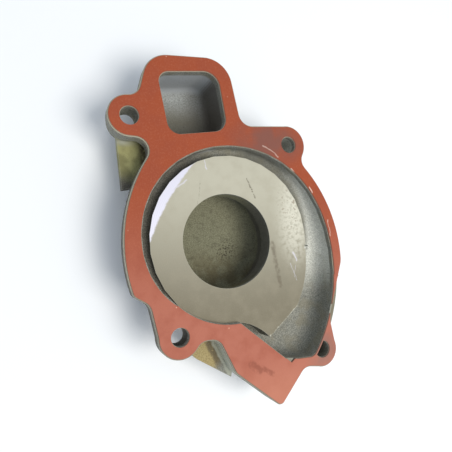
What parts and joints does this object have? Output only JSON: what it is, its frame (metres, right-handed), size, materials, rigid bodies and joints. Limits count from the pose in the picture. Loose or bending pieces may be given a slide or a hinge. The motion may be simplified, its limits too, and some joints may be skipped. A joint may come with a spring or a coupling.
{
  "type": "water pump cover",
  "caption": "Cast water pump cover with a volute groove round a flat face with an inlet eye, a cast-in inlet duct, a discharge pocket, bolt ears and a joint gasket.",
  "frame": {"origin": "centre of the inlet eye's mouth on the flat machined face that the impeller runs against", "axes": "+Z along the eye's axis, out of the machined face towards the impeller; +Y roughly towards the inlet port; +X towards the wide end of the scroll"},
  "size_m": [0.1301, 0.1792, 0.0305],
  "materials": {
    "cast_metal": "as cast and weathered, faces machined",
    "gasket_paper": "fibre gasket sheet, matt"
  },
  "bodies": {
    "root": {"cover_casting": "cast_metal", "flange_gasket": "gasket_paper"}
  },
  "joints": []
}
